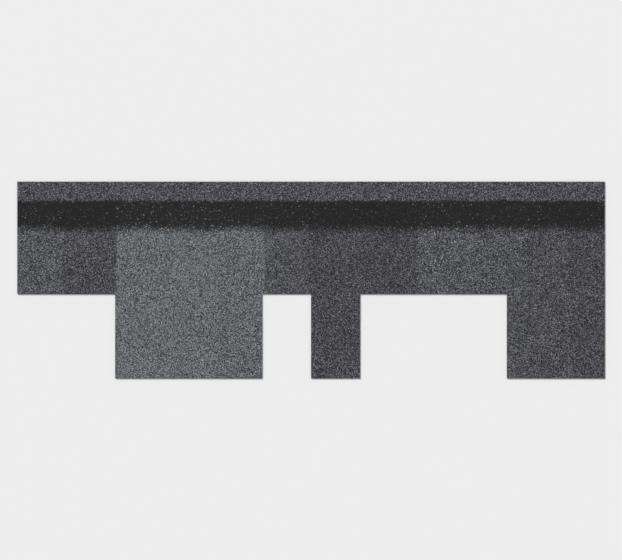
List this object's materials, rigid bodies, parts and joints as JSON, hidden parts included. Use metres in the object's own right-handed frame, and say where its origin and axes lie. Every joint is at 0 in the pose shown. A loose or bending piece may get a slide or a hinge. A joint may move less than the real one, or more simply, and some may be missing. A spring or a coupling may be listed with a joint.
{
  "type": "asphalt shingle",
  "caption": "Flat granule-faced roofing sheet with square teeth of unequal width along its lower edge, laid in overlapping courses to cover a pitched roof.",
  "frame": {"origin": "middle of the underside, at the centre of the sheet's length and height", "axes": "+X along the course, +Y up the roof slope with the teeth pointing to -Y, +Z out of the granule face"},
  "size_m": [1, 0.335, 0.0032],
  "materials": {
    "granules": "matte"
  },
  "bodies": {
    "root": {"shingle": "granules"}
  },
  "joints": []
}
